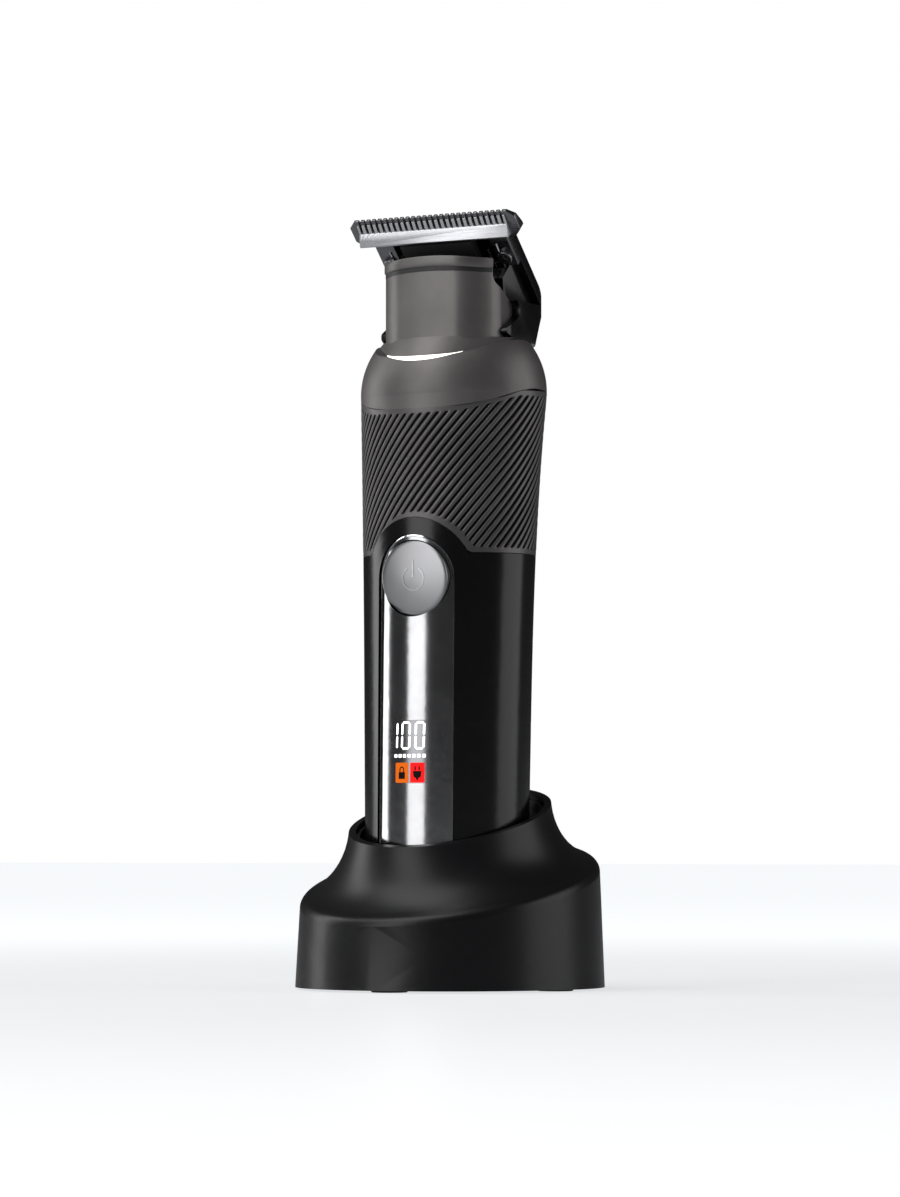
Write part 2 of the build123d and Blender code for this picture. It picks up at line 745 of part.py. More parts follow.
with BuildPart() as eccentric_cam:
    with BuildSketch(Plane.XY.offset(hub_bottom)):
        with Locations((0, motor_axis)):
            Circle(hub_radius)
    extrude(amount=hub_top - hub_bottom)
    with BuildSketch(Plane.XY.offset(hub_bottom)):
        with Locations((0, motor_axis)):
            Circle(shaft_radius)
    extrude(amount=hub_top - 1.2 - hub_bottom, mode=Mode.SUBTRACT)
    with BuildSketch(Plane.XY.offset(hub_top)):
        with Locations((0, motor_axis + throw)):
            Circle(crank_pin_radius)
    extrude(amount=neck_height + crank_pin_top - hub_top)
    chamfer(eccentric_cam.edges().group_by(Axis.Z)[-1], 0.3)
save("eccentric_cam", eccentric_cam.part)

with BuildPart() as motor_bracket:
    add(handle_slice(core_inset + fit_gap, motor_top, bracket_top))
    with BuildSketch(Plane.XY.offset(motor_top)):
        with Locations((0, motor_axis)):
            Circle(bush_radius + 0.6)
        with Locations(*motor_screw_places):
            Circle(screw_shank)
    extrude(amount=bracket_thickness, mode=Mode.SUBTRACT)
save("motor_bracket", motor_bracket.part)

motor_screw = Rot(180, 0, 0) * screw(screw_head, screw_head_height, screw_shank, bracket_thickness + can_wall)
with BuildPart() as motor_screws:
    with Locations(*[(x, y, bracket_top + screw_head_height) for x, y in motor_screw_places]):
        add(motor_screw)
save("motor_screws", motor_screws.part)

with BuildPart() as top_deck:
    add(handle_slice(core_inset + fit_gap, deck_bottom, core_top))
    with BuildSketch(Plane.XY.offset(deck_bottom)):
        with Locations((0, motor_axis)):
            Circle(seal_radius)
    extrude(amount=deck_thickness, mode=Mode.SUBTRACT)
save("top_deck", top_deck.part)

with BuildPart() as shaft_seal:
    with BuildSketch(Plane.XY.offset(deck_bottom)):
        with Locations((0, motor_axis)):
            Circle(seal_radius)
            Circle(hub_radius + 2 * running_gap, mode=Mode.SUBTRACT)
    extrude(amount=deck_thickness)
save("shaft_seal", shaft_seal.part)

led_board_size = (10.0, 1.0, 3.0)
led_back = section_sizes(core_top + led_board_size[2], collar_wall)[1] - 1.2
with BuildPart() as led_board:
    with Locations((0, -led_back, core_top + fit_gap)):
        Box(*led_board_size, align=(Align.CENTER, Align.MIN, Align.MIN))
save("led_board", led_board.part)

# === Head ===================================================================

side_plane = Plane(origin=blade_plane.origin, x_dir=blade_plane.y_dir, z_dir=(1, 0, 0))
cover_roof = 1.5
lip_back = 6.2
neck_back = 8.0
wing_corners = ((-lip_back, 40.0), (-lip_back, 13.2), (4.9, 6.9), (-4.0, 2.0), (-0.5, 0.4))
wing_rounds = (3.0, 2.2, 0.8)
collar_back = wing_corners[-1][0]
block_height = 9.0           # of the rear housing, above the neck
plug_gap = 0.3
plug_wall = 1.4
plug_front = collar_back + 0.3
plug_bottom = core_top + 0.6
seam_low = neck_height + seam_points[0][1]


def cover_side(gap):
    """The space in front of the line where the cover's wings end."""
    with BuildPart() as space:
        with BuildSketch(Plane.YZ):
            with BuildLine():
                wing = FilletPolyline(*[(y + gap, neck_height + z) for y, z in wing_corners], radius=wing_rounds)
                Polyline(wing @ 1, (collar_back + gap, seam_low - 9), (-30, seam_low - 9), (-30, cover_top + 20))
                Polyline((-30, cover_top + 20), wing @ 0)
            make_face()
        extrude(amount=30, both=True)
    return space.part


def neck_bar(inset, top):
    """The cover's neck, rounded at its front corners, up to a height."""
    half = cover_half_width - inset
    front = cover_front - inset
    with BuildPart() as bar:
        with BuildSketch(Plane.XY.offset(seam_low)) as plan:
            with Locations((0, (neck_back - front) / 2)):
                Rectangle(2 * half, front + neck_back)
            fillet(plan.vertices().group_by(Axis.Y)[0], cover_corner - inset)
        extrude(amount=top - seam_low)
    return bar.part


with BuildPart() as head_cover:
    add(neck_bar(0, cover_top))
    fillet(head_cover.edges().group_by(Axis.Z)[-1], 0.6)
    add(handle_slice(fit_gap, seam_low, neck_height + 0.5))
    add(above_seam(seam_gap), mode=Mode.INTERSECT)
    add(cover_side(0), mode=Mode.INTERSECT)
    add(handle_slice(collar_wall, seam_low, neck_height - 0.8), mode=Mode.SUBTRACT)
    add(neck_bar(cover_wall, cover_top - cover_roof), mode=Mode.SUBTRACT)
save("head_cover", head_cover.part)

screw_places = [(-14.6, -12.5), (14.6, -12.5)]
slab_face = -fixed_thickness - fit_gap
block_back = 17.0
block_front = -7.0
block_corner = 6.0
block_size = (2 * holder_half_width, block_back - block_front)
rear_corner = 8.0
slab_back = blade_plane.offset(slab_face - holder_depth).origin
slab_meets = slab_back.Z - (block_back - slab_back.Y) * tan(radians(blade_lean))
slab_start = -30.0
slab_top = slab_back.Z - (slab_start - slab_back.Y) * tan(radians(blade_lean))
with BuildPart() as rear_block:
    half_width, front, back = section_sizes(neck_height - 3.5, 1.4)
    with BuildSketch(Plane.XY.offset(neck_height - 3.5)):
        with Locations((0, (back - front) / 2)):
            Ellipse(half_width, (front + back) / 2)
    with BuildSketch(Plane.XY.offset(neck_height + 6.5)):
        with Locations((0, (block_back + block_front) / 2)):
            RectangleRounded(*block_size, block_corner)
    loft(ruled=True)
    with BuildSketch(Plane.XY.offset(neck_height + 6.5)):
        with Locations((0, (block_back + block_front) / 2)):
            RectangleRounded(*block_size, block_corner)
    extrude(amount=block_height - 6.5)

with BuildPart() as plug_ring:
    half_width, front, back = section_sizes(neck_height + 0.5, collar_wall + plug_gap)
    with BuildSketch(Plane.XY.offset(plug_bottom)):
        with Locations((0, (back - front) / 2)):
            Ellipse(half_width, (front + back) / 2)
            Ellipse(half_width - plug_wall, (front + back) / 2 - plug_wall, mode=Mode.SUBTRACT)
    extrude(amount=neck_height + 0.5 - plug_bottom)
    split(bisect_by=Plane.XZ.offset(-plug_front), keep=Keep.BOTTOM)

with BuildPart() as blade_holder:
    add(rear_block.part)
    with BuildSketch(side_plane):
        with BuildLine():
            Polyline(
                (-stem_length - 0.3, slab_face - 1),
                (-stem_length - 0.3, 4.0),
                (-28.0, 14.0),
                (-31.0, slab_face - 1),
                close=True,
            )
        make_face()
    extrude(amount=cover_half_width - 0.2, both=True)
    with BuildSketch(blade_plane.offset(slab_face)):
        with Locations((0, -fixed_height - 1.0)):
            Rectangle(2 * holder_half_width, 26.0, align=(Align.CENTER, Align.MAX))
    extrude(amount=-holder_depth)
    split(bisect_by=blade_plane.offset(slab_face - holder_depth), keep=Keep.TOP)
    add(above_seam(seam_gap), mode=Mode.INTERSECT)
    add(cover_side(fit_gap), mode=Mode.SUBTRACT)
    with BuildSketch(side_plane):
        with BuildLine():
            Polyline(
                (-stem_length - 1.6, slab_face - 0.6),
                (-stem_length - 1.6, 30.0),
                (-60.0, 30.0),
                (-29.0, slab_face - 0.6),
                close=True,
            )
        make_face()
    extrude(amount=window_half_width, both=True, mode=Mode.SUBTRACT)
    with BuildSketch(blade_plane.offset(slab_face)):
        with Locations(*screw_places):
            Circle(screw_shank)
    extrude(amount=-holder_depth, mode=Mode.SUBTRACT)
    with BuildSketch(Plane.XY.offset(seam_low)):
        with Locations((0, (block_back + block_front) / 2)):
            RectangleRounded(*block_size, block_corner)
    extrude(amount=cover_top - seam_low + 20, mode=Mode.INTERSECT)
    with BuildSketch(Plane.YZ):
        with BuildLine():
            back_line = FilletPolyline((slab_start, slab_top), (block_back, slab_meets), (block_back, seam_low),
                                       radius=rear_corner)
            Polyline(back_line @ 1, (slab_start, seam_low), back_line @ 0)
        make_face()
    extrude(amount=holder_half_width, both=True, mode=Mode.INTERSECT)
    add(plug_ring.part)
save("blade_holder", blade_holder.part)

tooth_gap = tooth_pitch - tooth_width
with BuildPart() as fixed_blade:
    with BuildSketch(blade_plane.offset(-fixed_thickness)) as outline:
        with Locations((0, -fixed_height / 2)):
            Rectangle(2 * fixed_half_width, fixed_height)
        chamfer(outline.vertices(), 1.6)
        with Locations((0, -fixed_height + 1)):
            Rectangle(2 * stem_half_width, stem_length - fixed_height + 1, align=(Align.CENTER, Align.MAX))
        with Locations((0, -(fixed_height + stem_length - 1.0) / 2 - 0.2)):
            Rectangle(2 * window_half_width, stem_length - fixed_height - 1.4, mode=Mode.SUBTRACT)
        with GridLocations(tooth_pitch, 1, tooth_count + 1, 1):
            Rectangle(tooth_gap, 2 * fixed_tooth_length, mode=Mode.SUBTRACT)
        with Locations(*screw_places):
            Circle(screw_shank, mode=Mode.SUBTRACT)
    extrude(amount=fixed_thickness)
    with BuildSketch(side_plane):
        with BuildLine():
            tip = -0.7
            Polyline((0.1, tip), (0.1, -3), (-4.6, -3), (-4.6, -fixed_thickness), close=True)
        make_face()
    extrude(amount=fixed_half_width, both=True, mode=Mode.SUBTRACT)
save("fixed_blade", fixed_blade.part)

blade_screw = Rot(180, 0, 0) * screw(1.7, 0.8, screw_shank, fixed_thickness + 1.5)
with BuildPart() as blade_screws:
    with Locations(blade_plane.offset(0.8)):
        with Locations(*[(x, s) for x, s in screw_places]):
            add(blade_screw)
save("blade_screws", blade_screws.part)

tip_setback = 0.9
with BuildPart() as moving_blade:
    with BuildSketch(side_plane):
        with BuildLine():
            Polyline(
                (-tip_setback, glide_gap),
                (-tip_setback, 0.35),
                (-tip_setback - tooth_length, 0.7),
                (-moving_height, moving_depth),
                (-moving_height - 0.4, moving_depth - 0.1),
                (-moving_height - 0.9, glide_gap),
                close=True,
            )
        make_face()
    extrude(amount=moving_half_width, both=True)
    with BuildSketch(blade_plane):
        with GridLocations(tooth_pitch, 1, tooth_count + 1, 1):
            Rectangle(tooth_gap, 2 * (tip_setback + tooth_length))
    extrude(amount=moving_depth, mode=Mode.SUBTRACT)
save("moving_blade", moving_blade.part)

fork_low = neck_height + 1.4
fork_high = neck_height + crank_pin_top + 0.8
slider_half_width = 9.0
slider_top = -moving_height - 0.9 - fit_gap
fork_half_width = 3.4
fork_half_depth = 4.2
web_front = -4.6
web_back = -2.6
with BuildPart() as drive_slider:
    with BuildSketch(side_plane):
        with Locations(((slider_top - 11.5) / 2, (glide_gap + 2.3) / 2)):
            Rectangle(slider_top + 11.5, 2.3 - glide_gap)
    extrude(amount=slider_half_width, both=True)
    with BuildSketch(Plane.YZ):
        with BuildLine():
            Polyline(
                (web_front, fork_high - 1),
                (web_back, fork_high - 1),
                (web_back, neck_height + 18.8),
                (web_front, neck_height + 17.6),
                close=True,
            )
        make_face()
    extrude(amount=fork_half_width, both=True)
    with BuildSketch(Plane.XY.offset(fork_low)):
        with Locations((0, motor_axis)):
            RectangleRounded(2 * fork_half_width, 2 * fork_half_depth, 1.0)
            SlotOverall(
                2 * (throw + crank_pin_radius + 0.8),
                2 * (crank_pin_radius + crank_slack),
                rotation=90,
                mode=Mode.SUBTRACT,
            )
    extrude(amount=fork_high - fork_low)
save("drive_slider", drive_slider.part)

leaf_thickness = 0.4
leaf_front = -cover_front + cover_wall + 0.5
with BuildPart() as tension_spring:
    with BuildSketch(Plane.YZ):
        with BuildLine() as leaf:
            FilletPolyline(
                (leaf_front, neck_height + 3.0),
                (leaf_front, neck_height + 13.0),
                (web_front - 0.5, neck_height + 16.0),
                radius=1.5,
            )
        trace(leaf.line, leaf_thickness)
    extrude(amount=5.0, both=True)
save("tension_spring", tension_spring.part)
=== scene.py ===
"""A body groomer standing in its charging stand: the looks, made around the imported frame."""
import bpy
import json
from math import cos, pi, radians, sin, sqrt
from mathutils import Matrix, Vector


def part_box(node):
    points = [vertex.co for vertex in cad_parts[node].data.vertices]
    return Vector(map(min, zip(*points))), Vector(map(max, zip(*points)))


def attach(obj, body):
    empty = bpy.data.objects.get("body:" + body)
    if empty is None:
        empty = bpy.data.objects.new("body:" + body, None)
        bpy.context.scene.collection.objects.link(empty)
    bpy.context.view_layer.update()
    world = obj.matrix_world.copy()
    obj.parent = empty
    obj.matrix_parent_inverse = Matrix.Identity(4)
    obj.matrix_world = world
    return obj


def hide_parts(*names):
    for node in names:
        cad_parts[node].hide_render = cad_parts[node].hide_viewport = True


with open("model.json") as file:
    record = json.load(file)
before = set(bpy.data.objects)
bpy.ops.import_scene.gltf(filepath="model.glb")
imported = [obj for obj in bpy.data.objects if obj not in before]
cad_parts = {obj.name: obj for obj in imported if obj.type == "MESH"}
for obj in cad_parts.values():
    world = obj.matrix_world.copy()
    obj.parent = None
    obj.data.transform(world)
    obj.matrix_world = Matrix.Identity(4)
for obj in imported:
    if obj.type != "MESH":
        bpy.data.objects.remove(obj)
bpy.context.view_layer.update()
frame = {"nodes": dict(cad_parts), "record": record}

MM = 0.001
NODES = frame["nodes"]

# --- Camera -----------------------------------------------------------------
VIEW_TURN = radians(29.7)      # to the right of the front
VIEW_DISTANCE = 1.050
VIEW_HEIGHT = 0.032
VIEW_TILT = radians(2.98)
SENSOR = 36.0
LENS = 142.1


def place_camera():
    data = bpy.data.cameras.new("camera")
    data.sensor_fit = "VERTICAL"
    data.sensor_height = SENSOR
    data.lens = LENS
    data.clip_start = 0.05
    data.clip_end = 50.0
    camera = bpy.data.objects.new("camera", data)
    bpy.context.scene.collection.objects.link(camera)
    camera.location = (VIEW_DISTANCE * sin(VIEW_TURN), -VIEW_DISTANCE * cos(VIEW_TURN), VIEW_HEIGHT)
    camera.rotation_euler = (pi / 2 + VIEW_TILT, 0, VIEW_TURN)
    bpy.context.scene.camera = camera


# --- Materials --------------------------------------------------------------
CLOUD_SCALE = 90.0             # patches of uneven colour
NOISE_LOW, NOISE_HIGH = 0.3, 0.7
SPUN_SCALE = 900.0             # rings of the spun metal
SPUN_DEPTH = 0.0006


def node(tree, kind, place, **values):
    made = tree.nodes.new(kind)
    made.location = place
    for key, value in values.items():
        setattr(made, key, value)
    return made


def finish(name, colour, roughness, metallic=0.0, grain=2500.0, depth=0.02, stretch=(1, 1, 1),
           uneven=0.05, shade=0.15, coat=0.0, coat_rough=0.05, specular=0.5):
    """A moulded, coated or ground surface: uneven colour and gloss, with a fine grain."""
    material = bpy.data.materials.new(name)
    material.use_nodes = True
    tree = material.node_tree
    shader = tree.nodes["Principled BSDF"]
    shader.inputs["Metallic"].default_value = metallic
    shader.inputs["Coat Weight"].default_value = coat
    shader.inputs["Coat Roughness"].default_value = coat_rough
    shader.inputs["Specular IOR Level"].default_value = specular
    place = node(tree, "ShaderNodeTexCoord", (-1100, 0))
    turn = node(tree, "ShaderNodeMapping", (-900, 0))
    turn.inputs["Scale"].default_value = stretch
    tree.links.new(place.outputs["Object"], turn.inputs["Vector"])
    cloud = node(tree, "ShaderNodeTexNoise", (-700, 200))
    cloud.inputs["Scale"].default_value = CLOUD_SCALE
    cloud.inputs["Detail"].default_value = 4.0
    tree.links.new(turn.outputs["Vector"], cloud.inputs["Vector"])
    fine = node(tree, "ShaderNodeTexNoise", (-700, -200))
    fine.inputs["Scale"].default_value = grain
    fine.inputs["Detail"].default_value = 2.0
    tree.links.new(turn.outputs["Vector"], fine.inputs["Vector"])
    ramp = node(tree, "ShaderNodeValToRGB", (-450, 250))
    dark = tuple(c * (1 - shade) for c in colour) + (1.0,)
    light = tuple(min(1.0, c * (1 + shade)) for c in colour) + (1.0,)
    ramp.color_ramp.elements[0].position = NOISE_LOW
    ramp.color_ramp.elements[0].color = dark
    ramp.color_ramp.elements[1].position = NOISE_HIGH
    ramp.color_ramp.elements[1].color = light
    tree.links.new(cloud.outputs["Fac"], ramp.inputs["Fac"])
    tree.links.new(ramp.outputs["Color"], shader.inputs["Base Color"])
    gloss = node(tree, "ShaderNodeMapRange", (-450, -50))
    gloss.inputs["From Min"].default_value = NOISE_LOW
    gloss.inputs["From Max"].default_value = NOISE_HIGH
    gloss.inputs["To Min"].default_value = max(0.0, roughness - uneven)
    gloss.inputs["To Max"].default_value = roughness + uneven
    tree.links.new(fine.outputs["Fac"], gloss.inputs["Value"])
    tree.links.new(gloss.outputs["Result"], shader.inputs["Roughness"])
    bump = node(tree, "ShaderNodeBump", (-250, -350))
    bump.inputs["Strength"].default_value = 1.0
    bump.inputs["Distance"].default_value = depth * MM
    tree.links.new(fine.outputs["Fac"], bump.inputs["Height"])
    tree.links.new(bump.outputs["Normal"], shader.inputs["Normal"])
    return material


def glowing(name, colour, strength):
    """A surface that gives its own light."""
    material = finish(name, colour, 0.5, depth=0.0, specular=0.0)
    shader = material.node_tree.nodes["Principled BSDF"]
    shader.inputs["Emission Color"].default_value = (*colour, 1.0)
    shader.inputs["Emission Strength"].default_value = strength
    return material


def spun(name, colour, roughness):
    """Spun metal: fine rings about the button's middle."""
    material = finish(name, colour, roughness, metallic=1.0, depth=0.0, uneven=0.01, shade=0.04)
    tree = material.node_tree
    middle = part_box("power_button")
    turn = tree.nodes["Mapping"]
    turn.inputs["Location"].default_value = (0, 0, -(middle[0][2] + middle[1][2]) / 2)
    rings = node(tree, "ShaderNodeTexWave", (-700, -500), wave_type="RINGS", rings_direction="Y")
    rings.inputs["Scale"].default_value = SPUN_SCALE
    rings.inputs["Distortion"].default_value = 0.0
    tree.links.new(turn.outputs["Vector"], rings.inputs["Vector"])
    bump = tree.nodes["Bump"]
    bump.inputs["Distance"].default_value = SPUN_DEPTH * MM
    tree.links.new(rings.outputs["Fac"], bump.inputs["Height"])
    shader = tree.nodes["Principled BSDF"]
    shader.inputs["Anisotropic"].default_value = 0.3
    tangent = node(tree, "ShaderNodeTangent", (-250, -600), direction_type="RADIAL", axis="Y")
    tree.links.new(tangent.outputs["Tangent"], shader.inputs["Tangent"])
    return material


FINISHES = {
    "satin_black": finish("satin_black", (0.007, 0.007, 0.008), 0.34, depth=0.006, uneven=0.03, specular=0.3),
    "liner_black": finish("liner_black", (0.010, 0.010, 0.011), 0.5, depth=0.02),
    "gloss_black": finish("gloss_black", (0.003, 0.003, 0.0035), 0.22, depth=0.0006, uneven=0.02,
                          specular=0.35),
    "grey_satin": finish("grey_satin", (0.150, 0.141, 0.140), 0.47, metallic=0.75, grain=6000.0, depth=0.002,
                         specular=0.3),
    "grip_rubber": finish("grip_rubber", (0.115, 0.110, 0.110), 0.42, metallic=0.7, grain=5000.0, depth=0.004,
                          specular=0.3),
    # Painted shade: the bottoms of the grip's grooves get this near-black finish.
    "grip_groove_shade": finish("grip_groove_shade", (0.006, 0.006, 0.006), 0.7, depth=0.01, specular=0.1),
    "strip_mirror": finish("strip_mirror", (0.36, 0.36, 0.37), 0.16, metallic=1.0, depth=0.0005, uneven=0.01),
    "light_white": glowing("light_white", (1.0, 0.90, 0.84), 2.2),
    "spun_metal": spun("spun_metal", (0.27, 0.27, 0.28), 0.30),
    "etched_mark": finish("etched_mark", (0.30, 0.30, 0.31), 0.22, metallic=1.0, depth=0.0005),
    "chrome_edge": finish("chrome_edge", (0.75, 0.75, 0.77), 0.12, metallic=1.0, depth=0.0005),
    "window_smoke": finish("window_smoke", (0.20, 0.20, 0.21), 0.20, metallic=1.0, depth=0.0005, uneven=0.01),
    "digit_white": glowing("digit_white", (1.0, 1.0, 1.0), 1.6),
    "icon_orange": glowing("icon_orange", (0.55, 0.10, 0.008), 0.85),
    "icon_red": glowing("icon_red", (0.85, 0.015, 0.015), 0.8),
    "icon_black": finish("icon_black", (0.004, 0.002, 0.002), 0.5, specular=0.1),
    "blade_dark": finish("blade_dark", (0.16, 0.16, 0.17), 0.28, metallic=1.0, stretch=(0.05, 1, 1)),
    "blade_bright": finish("blade_bright", (0.50, 0.50, 0.52), 0.32, metallic=1.0, stretch=(0.05, 1, 1)),
    "bright_steel": finish("bright_steel", (0.56, 0.56, 0.58), 0.25, metallic=1.0, stretch=(1, 1, 0.1)),
    "screw_steel": finish("screw_steel", (0.20, 0.20, 0.21), 0.3, metallic=1.0),
    "spring_steel": finish("spring_steel", (0.45, 0.45, 0.47), 0.28, metallic=1.0),
    "contact_brass": finish("contact_brass", (0.80, 0.60, 0.28), 0.22, metallic=1.0),
    "bush_brass": finish("bush_brass", (0.50, 0.36, 0.18), 0.45, metallic=1.0, depth=0.03),
    "winding_copper": finish("winding_copper", (0.50, 0.22, 0.09), 0.35, metallic=1.0, stretch=(1, 1, 0.1)),
    "ballast_iron": finish("ballast_iron", (0.12, 0.12, 0.13), 0.6, metallic=0.9, depth=0.05),
    "board_green": finish("board_green", (0.01, 0.09, 0.04), 0.35, coat=0.4),
    "cell_wrap": finish("cell_wrap", (0.03, 0.12, 0.34), 0.3, depth=0.01, coat=0.3),
    "display_dark": finish("display_dark", (0.012, 0.012, 0.013), 0.12, depth=0.001),
    "seal_rubber": finish("seal_rubber", (0.016, 0.016, 0.016), 0.65, depth=0.03),
    "slider_white": finish("slider_white", (0.62, 0.62, 0.59), 0.45, depth=0.01),
}

for part in frame["record"]["subparts"]:
    own = NODES[part["node"]]
    own.data.materials.clear()
    own.data.materials.append(FINISHES[part["material_slot"]])


# --- Making pieces ----------------------------------------------------------
def deselect():
    if bpy.context.object and bpy.context.object.mode != "OBJECT":
        bpy.ops.object.mode_set(mode="OBJECT")
    bpy.ops.object.select_all(action="DESELECT")


def work_on(piece):
    deselect()
    piece.select_set(True)
    bpy.context.view_layer.objects.active = piece


def smooth(piece, angle=35):
    work_on(piece)
    bpy.ops.object.shade_smooth_by_angle(angle=radians(angle))


def dress(piece, finish_name, body, slot, *nodes):
    """Give a piece its finish and its body, and hide the nodes it stands for; slot is not used."""
    piece.data.materials.clear()
    piece.data.materials.append(FINISHES[finish_name])
    if nodes:
        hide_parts(*nodes)
    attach(piece, body)
    return piece


def recalc(piece):
    work_on(piece)
    bpy.ops.object.mode_set(mode="EDIT")
    bpy.ops.mesh.select_all(action="SELECT")
    bpy.ops.mesh.normals_make_consistent(inside=False)
    bpy.ops.object.mode_set(mode="OBJECT")


def from_node(name, node_name, width, segments=3, angle=30):
    """A copy of a node with its triangles merged and its edges rounded."""
    piece = bpy.data.objects.new(name, NODES[node_name].data.copy())
    bpy.context.scene.collection.objects.link(piece)
    work_on(piece)
    bpy.ops.object.mode_set(mode="EDIT")
    bpy.ops.mesh.select_all(action="SELECT")
    bpy.ops.mesh.remove_doubles(threshold=2e-6)
    bpy.ops.mesh.customdata_custom_splitnormals_clear()
    bpy.ops.mesh.dissolve_limited(angle_limit=radians(0.6))
    bpy.ops.object.mode_set(mode="OBJECT")
    bevel = piece.modifiers.new("rounding", "BEVEL")
    bevel.width = width * MM
    bevel.segments = segments
    bevel.limit_method = "ANGLE"
    bevel.angle_limit = radians(angle)
    bpy.ops.object.modifier_apply(modifier=bevel.name)
    smooth(piece)
    return piece


def skin(name, rings, ends_meet=False):
    """A closed form through rings of points in millimetres, each ring closed on itself."""
    count = len(rings[0])
    points = [(x * MM, y * MM, z * MM) for ring in rings for x, y, z in ring]
    faces = []
    last = len(rings) if ends_meet else len(rings) - 1
    for i in range(last):
        low, high = i * count, ((i + 1) % len(rings)) * count
        for j in range(count):
            k = (j + 1) % count
            faces.append((low + j, low + k, high + k, high + j))
    if not ends_meet:
        faces.append(tuple(reversed(range(count))))
        faces.append(tuple((len(rings) - 1) * count + j for j in range(count)))
    mesh = bpy.data.meshes.new(name)
    mesh.from_pydata(points, [], faces)
    piece = bpy.data.objects.new(name, mesh)
    bpy.context.scene.collection.objects.link(piece)
    recalc(piece)
    smooth(piece, 40)
    return piece


# --- The handle's outline ---------------------------------------------------
HANDLE_HALF, HANDLE_FRONT, HANDLE_BACK = 19.0, 17.45, 15.0
STATIONS = (12.0, 47.0, 95.8, 131.0)
WIDTHS = (-0.6, 0.0, 1.0, 2.5)
FRONTS = (0.35, 0.0, -0.65, -1.05)
BACKS = (-0.8, 0.0, 1.2, 4.6)
NECK = 143.5
SEAM = ((-22.0, -5.2), (-14.3, -4.1), (-9.0, -2.3), (-3.6, -0.4), (6.0, 0.0), (22.0, -1.2))
BUTTON_Z = 90.4
STRIP_CROWN = 17.0


def through(places, values, at):
    """The smooth line through four values."""
    total = 0.0
    for i, place in enumerate(places):
        share = values[i]
        for j, other in enumerate(places):
            if j != i:
                share *= (at - other) / (place - other)
        total += share
    return total


def section(z):
    """Half width, front and back of the handle below its shoulder."""
    return (HANDLE_HALF + through(STATIONS, WIDTHS, z), HANDLE_FRONT + through(STATIONS, FRONTS, z),
            HANDLE_BACK + through(STATIONS, BACKS, z))


def seam_height(y):
    """Height of the seam under the head, from its side view."""
    for (y0, z0), (y1, z1) in zip(SEAM, SEAM[1:]):
        if y <= y1:
            share = (y - y0) / (y1 - y0)
            share = share * share * (3 - 2 * share) * 0.35 + share * 0.65
            return NECK + z0 + (z1 - z0) * share
    return NECK + SEAM[-1][1]


def strip_front(z):
    return -(HANDLE_FRONT + through(STATIONS, FRONTS, z))


def on_strip(x, z, proud):
    """A place on the strip's crowned face, stood out by proud."""
    return (x, strip_front(z) + STRIP_CROWN - sqrt((STRIP_CROWN + proud) ** 2 - x * x), z)


# --- Grip -------------------------------------------------------------------
RIBS = 62
RIB_SLANT = 0.0068             # turns of the grip per millimetre of height
RIB_DEPTH = 0.45
GRIP_MIDDLE = 115.0
RIB_SHAPE = ((0.0, -1.0), (0.11, -0.92), (0.19, -0.28), (0.30, 0.0), (0.5, 0.12), (0.70, 0.0), (0.81, -0.28),
             (0.89, -0.92))
GRIP_LOW = 95.85
COLLAR_DROP = 11.15
ARCH = 13.45
ARCH_FOOT = 2.0
BORDER = 1.3
GRIP_WALL = 1.1


def arc_table(steps=720):
    """Angle for each share of the way round the handle's outline."""
    half, front, back = section(GRIP_MIDDLE)
    deep = (front + back) / 2
    lengths = [0.0]
    for i in range(steps):
        a = 2 * pi * (i + 0.5) / steps
        lengths.append(lengths[-1] + sqrt((half * cos(a)) ** 2 + (deep * sin(a)) ** 2))
    return [length / lengths[-1] for length in lengths]


ARC = arc_table()


def angle_at(turn):
    """Angle from the front, towards the right, a share of the way round."""
    turn = turn % 1.0
    low, high = 0, len(ARC) - 1
    while high - low > 1:
        middle = (low + high) // 2
        if ARC[middle] <= turn:
            low = middle
        else:
            high = middle
    part = (turn - ARC[low]) / (ARC[high] - ARC[low])
    return 2 * pi * (low + part) / (len(ARC) - 1)


def grip_point(turn, z, out):
    half, front, back = section(z)
    a = angle_at(turn + RIB_SLANT * (z - GRIP_MIDDLE))
    deep = (front + back) / 2
    x, y = half * sin(a), -deep * cos(a)
    nx, ny = sin(a) / half, -cos(a) / deep
    size = sqrt(nx * nx + ny * ny)
    return (x + out * nx / size, y + (back - front) / 2 + out * ny / size, z)


def grip_bottom(x, y):
    """Lower edge of the grip, arched over the button at the front."""
    if y > 0:
        return GRIP_LOW
    foot_z = GRIP_LOW + ARCH_FOOT
    foot_x = sqrt((ARCH + ARCH_FOOT) ** 2 - (foot_z - BUTTON_Z) ** 2)
    touch_x = foot_x * ARCH / (ARCH + ARCH_FOOT)
    x = abs(x)
    if x < touch_x:
        return BUTTON_Z + sqrt(ARCH * ARCH - x * x)
    if x < foot_x:
        return foot_z - sqrt(ARCH_FOOT ** 2 - (x - foot_x) ** 2)
    return GRIP_LOW


def grip_edges(turn):
    """Lowest and highest height of one column of the grip."""
    high = NECK - COLLAR_DROP
    for _ in range(12):
        high = seam_height(grip_point(turn, high, 0)[1]) - COLLAR_DROP
    low = high
    while low > GRIP_LOW:
        low -= 0.1
        x, y, _ = grip_point(turn, low, 0)
        if low <= grip_bottom(x, y):
            break
    return max(low, GRIP_LOW), high


